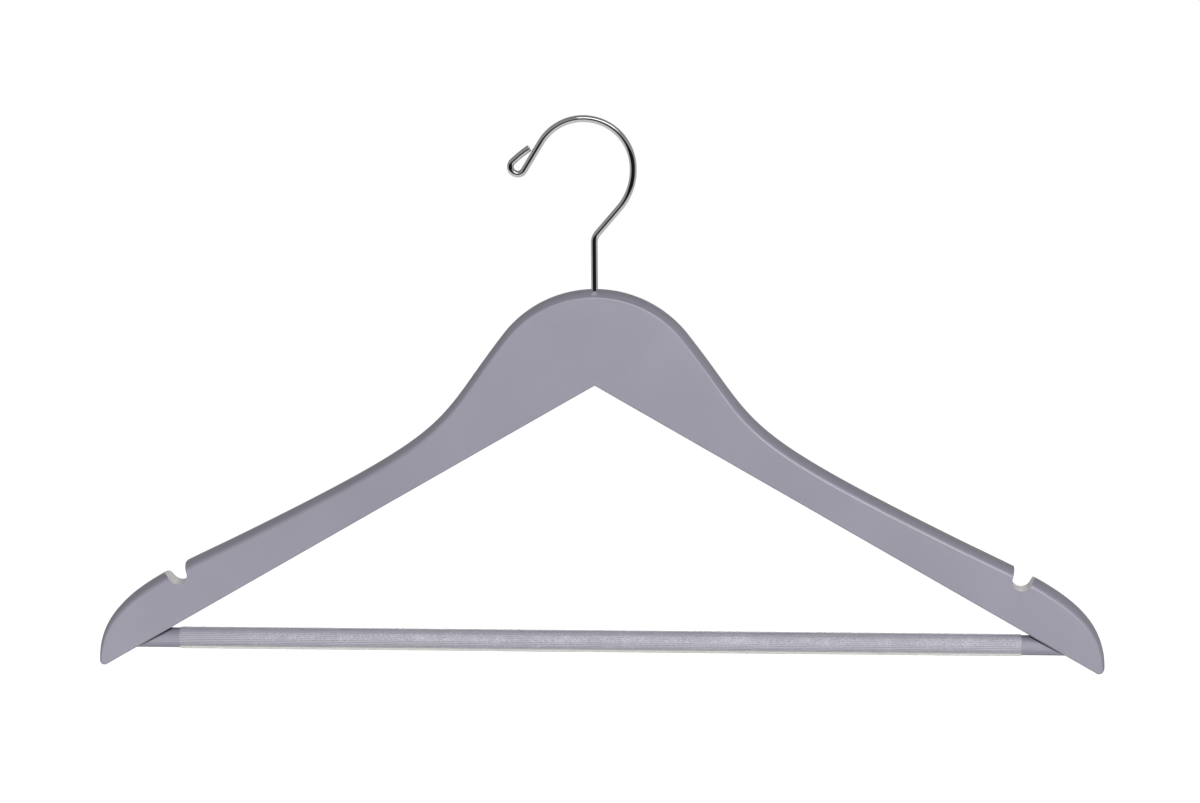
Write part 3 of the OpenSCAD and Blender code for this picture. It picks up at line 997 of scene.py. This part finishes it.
def buildArms(values):
    v = values
    board, tip, cornerZ = buildBoard(v)
    crownTop, foot = crownZ + past, cornerZ - past
    drills = [
        uprightRod(v["boreRadius"], axisX, foot, crownTop, v["boreSides"], woodSlot),
        uprightRod(v["mouthRadius"], axisX, crownZ - v["mouthDepth"], crownTop, v["boreSides"], woodSlot),
        uprightRod(v["wellRadius"], axisX, foot, cornerZ + v["wellHeight"], 64, woodSlot),
    ]
    sides = ((-1, v["leftNotch"], "left_bar_pin"), (1, v["rightNotch"], "right_bar_pin"))
    for side, notchSizes, pin in sides:
        notch = [(axisX + side * p.x, p.y) for p in notchOutline(v, tip, notchSizes)]
        drills.append(prism(notch, -boardT, boardT, woodSlot))
        end = (barHigh.x - barLow.x) / 2 + v["socketGap"]
        inner, outer = axisX + side * (end - v["socketRun"]), axisX + side * end
        # the bar's sockets take the painted shade
        drills.append(rod(barR + v["mouthGap"], (inner, 0, barZ), (outer, 0, barZ), 64, shadeSlot))
        pinLow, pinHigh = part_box(pin)
        pinR = (pinHigh.x - pinLow.x) / 2
        drills.append(uprightRod(pinR, middleX(pin), pinLow.z - past, pinHigh.z, v["bradSides"], woodSlot))
    drilled = carve(board, [("DIFFERENCE", d) for d in drills])
    other = drilled.copy()
    line = fingerLine(v)
    for name, node, blank, cut, paint, wood in (
        ("leftArm", "left_arm", drilled, "INTERSECT", leftPaint, leftWood),
        ("rightArm", "right_arm", other, "DIFFERENCE", rightPaint, rightWood),
    ):
        arm = carve(blank, [(cut, prism(line, -boardT, boardT, woodSlot))])
        # the cutter's edges are broken a little where paint meets bare wood in the notch
        sawn = [
            e for e in arm.edges
            if abs(e.verts[0].co.x - axisX) > halfSpan / 2 and len(e.link_faces) == 2
            and {f.material_index for f in e.link_faces} == {paintSlot, woodSlot}
            and e.calc_face_angle(0) > v["cutEaseAngle"] and e.verts[0].co.z > barZ + 3 * barR
        ]
        roundEdges(arm, sawn, v["cutEase"], 2, paintSlot)
        finishPiece(arm, name, [paint, wood, shadedSocketWood], "hanger_frame", node, 30)


buildArms(boardValues)
print("arms built")


hookValues = {
    "hookRadius": 20.85 * mm,
    "backRadius": 24.5 * mm,
    "backFlat": 0.7 * mm,
    "lean": 40.7,
    "shankBend": 6.0 * mm,
    "sweep": 148.6,
    "nose": 13.8 * mm,
    "eyeRadius": 3.04 * mm,
    "eyeTurn": 195.2,
    "tailRadius": 55.7 * mm,
    "tailTurn": 9.4,
    "degreesPerStep": 2.5,
    "sides": 40,
    "endRound": 0.25 * mm,
}


# lays round wire by turns of extrusion and spin, as a wire bender does: a step is a length, or
# a bend's radius and its angle
def layWire(bm, radius, sides, place, way, steps, stepAngle):
    ring = bmesh.ops.create_circle(bm, cap_ends=True, segments=sides, radius=radius)["verts"]
    turn = way.to_track_quat("Z", "Y").to_matrix().to_4x4()
    bmesh.ops.transform(bm, matrix=Matrix.Translation(place) @ turn, verts=ring)
    edges = list({e for v in ring for e in v.link_edges})
    for step in steps:
        if len(step) == 1:
            verts, edges = farEnd(bmesh.ops.extrude_edge_only(bm, edges=edges))
            bmesh.ops.translate(bm, verts=verts, vec=way * step[0])
            place = place + way * step[0]
        else:
            bend, angle = step
            side = 1 if angle > 0 else -1
            left = Vector((-way.z, 0, way.x))  # of the way, seen from the front
            centre = place + left * side * bend
            amount = math.radians(abs(angle))
            axis = Vector((0, -side, 0))
            count = max(2, round(abs(angle) / stepAngle))
            made = bmesh.ops.spin(
                bm, geom=edges, cent=centre, axis=axis, angle=amount, steps=count,
                use_merge=False, use_duplicate=False,
            )
            edges = [g for g in made["geom_last"] if isinstance(g, bmesh.types.BMEdge)]
            rotation = Matrix.Rotation(amount, 3, axis)
            place = centre + rotation @ (place - centre)
            way = rotation @ way
    bmesh.ops.holes_fill(bm, edges=edges, sides=0)
    return edges


def buildHook(v):
    lean = math.radians(v["lean"])
    reach = v["hookRadius"] - v["backRadius"] * (1 - math.cos(lean)) - axisX
    cut = v["shankBend"] * math.tan(lean / 2)
    straight = reach / math.sin(lean) - cut
    hookInner = v["hookRadius"] - wireR
    kneeZ = -hookInner - v["backFlat"] - v["backRadius"] * math.sin(lean) - reach / math.tan(lean)
    shank = kneeZ - cut - nutLow.z
    steps = [
        [shank * 0.5],
        [shank * 0.5],
        [v["shankBend"], -v["lean"]],
        [straight],
        [v["backRadius"], v["lean"]],
        [v["backFlat"]],
        [v["hookRadius"], v["sweep"]],
        [v["nose"]],
        [v["eyeRadius"], -v["eyeTurn"]],
        [v["tailRadius"], -v["tailTurn"]],
    ]
    foot, upward = Vector((axisX, 0, nutLow.z)), Vector((0, 0, 1))
    bm = bmesh.new()
    edges = layWire(bm, wireR, v["sides"], foot, upward, steps, v["degreesPerStep"])
    roundEdges(bm, edges, v["endRound"], 3)
    return finishPiece(bm, "hookWire", [chrome], "swivel_hook", "hook", 40)


boxReceivers.objects.link(buildHook(hookValues))
boxReceivers.collection_objects[0].light_linking.link_state = "EXCLUDE"
print("hook bent")


fastenerValues = {
    "washerEdge": 0.09 * mm,
    "nutEdge": 0.3 * mm,
    "nutSlotWidth": 1.0 * mm,
    "nutSlotDepth": 1.2 * mm,
    "bradSides": 24,
    "bradPoint": 1.6 * mm,
    "bradTip": 0.15,
}


def buildFasteners(v):
    boreSides = boardValues["boreSides"]
    bm = uprightRod((washerHigh.x - washerLow.x) / 2, axisX, washerLow.z, washerHigh.z)
    bore = uprightRod(boardValues["boreRadius"], axisX, washerLow.z - past, washerHigh.z + past, boreSides)
    bm = carve(bm, [("DIFFERENCE", bore)])
    roundEdges(bm, rimEdges(bm), v["washerEdge"], 3)
    finishPiece(bm, "nutWasher", [zinc], "hanger_frame", "hook_washer")

    nutR = (nutHigh.x - nutLow.x) / 2
    bm = uprightRod(nutR, axisX, nutLow.z, nutHigh.z)
    roundEdges(bm, rimEdges(bm), v["nutEdge"], 4)
    hole = uprightRod(wireR, axisX, nutLow.z - past, nutHigh.z + past, boreSides)
    left, right = axisX - 2 * nutR, axisX + 2 * nutR
    foot, top = nutLow.z - past, nutLow.z + v["nutSlotDepth"]
    half = v["nutSlotWidth"] / 2
    slot = prism([(left, foot), (right, foot), (right, top), (left, top)], -half, half)
    bm = carve(bm, [("DIFFERENCE", hole), ("DIFFERENCE", slot)])
    finishPiece(bm, "hookNut", [zinc], "swivel_hook", "hook_nut")

    for name, node in (("leftBrad", "left_bar_pin"), ("rightBrad", "right_bar_pin")):
        low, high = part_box(node)
        x = middleX(node)
        bm = uprightRod((high.x - low.x) / 2, x, low.z, high.z - v["bradPoint"], v["bradSides"])
        top = [f for f in bm.faces if f.normal.z > 0.9]
        verts, _ = farEnd(bmesh.ops.extrude_face_region(bm, geom=top))
        bmesh.ops.delete(bm, geom=top, context="FACES_ONLY")
        bmesh.ops.translate(bm, verts=verts, vec=(0, 0, v["bradPoint"]))
        tip = (v["bradTip"], v["bradTip"], 1)
        bmesh.ops.scale(bm, vec=tip, space=Matrix.Translation((-x, 0, 0)), verts=verts)
        finishPiece(bm, name, [zinc], "hanger_frame", node)


buildFasteners(fastenerValues)
print("washer, nut and brads made")


barValues = {
    "endRound": 0.5 * mm,
    "sides": 96,
    "bradHole": 0.6 * mm,
    "bradSides": 24,
}


def buildBar(v):
    bm = rod(barR, (barLow.x, 0, barZ), (barHigh.x, 0, barZ), v["sides"])
    roundEdges(bm, rimEdges(bm), v["endRound"], 4)
    for x in (middleX("left_bar_pin"), middleX("right_bar_pin")):
        hole = uprightRod(v["bradHole"], x, barZ - past, barZ + past, v["bradSides"])
        bm = carve(bm, [("DIFFERENCE", hole)])
    finishPiece(bm, "trouserBar", [dowelPaint], "hanger_frame", "trouser_bar")


sleeveValues = {
    "ribs": vinylValues["ribs"],
    "pointsPerRib": 3,
    "ribHeight": 0.16 * mm,
    "ribSharpness": 0.7,
    "slack": 0.02 * mm,
    "step": 0.7 * mm,
    "ragged": 0.3 * mm,
    "raggedScale": (1600, 4),  # per metre along the sleeve, and round it
    "raggedShare": 0.9,
}


# the radius of the ribbed outside, ragged like cut vinyl
def sleeveRadius(x, angle, v):
    outer = (sleeveHigh.z - sleeveLow.z) / 2
    ridge = 0.5 + 0.5 * math.cos(angle * v["ribs"])
    radius = outer - v["ribHeight"] * (1 - ridge ** v["ribSharpness"])
    along, around = v["raggedScale"]
    place = Vector((x * along, math.cos(angle) * around, math.sin(angle) * around))
    rough = min(1.0, max(0.0, 0.5 + v["raggedShare"] * noise.noise(place)))
    return radius - v["ragged"] * rough * ridge


# a ring of edges at the sleeve's left end
def sleeveRing(bm, radius, count):
    ring = bmesh.ops.create_circle(bm, cap_ends=False, segments=count, radius=radius)["verts"]
    turn = Matrix.Rotation(math.radians(90), 4, "Y")
    bmesh.ops.transform(bm, matrix=Matrix.Translation((sleeveLow.x, 0, barZ)) @ turn, verts=ring)
    return list({e for v in ring for e in v.link_edges})


def buildSleeve(values):
    count = values["ribs"] * values["pointsPerRib"]
    length = sleeveHigh.x - sleeveLow.x
    steps = round(length / values["step"])
    bm = bmesh.new()
    start = edges = sleeveRing(bm, barR, count)
    for _ in range(steps):
        verts, edges = farEnd(bmesh.ops.extrude_edge_only(bm, edges=edges))
        bmesh.ops.translate(bm, verts=verts, vec=(length / steps, 0, 0))
    for v in bm.verts:
        angle = math.atan2(v.co.z - barZ, v.co.y)
        radius = sleeveRadius(v.co.x, angle, values)
        v.co.y, v.co.z = radius * math.cos(angle), barZ + radius * math.sin(angle)
    innerStart = sleeveRing(bm, barR + values["slack"], count)
    verts, innerEnd = farEnd(bmesh.ops.extrude_edge_only(bm, edges=innerStart))
    bmesh.ops.translate(bm, verts=verts, vec=(length, 0, 0))
    bmesh.ops.bridge_loops(bm, edges=start + innerStart)
    bmesh.ops.bridge_loops(bm, edges=edges + innerEnd)
    finishPiece(bm, "gripSleeve", [clearVinyl], "hanger_frame", "grip_sleeve", 60, False)


buildBar(barValues)
buildSleeve(sleeveValues)
print("bar and sleeve made")
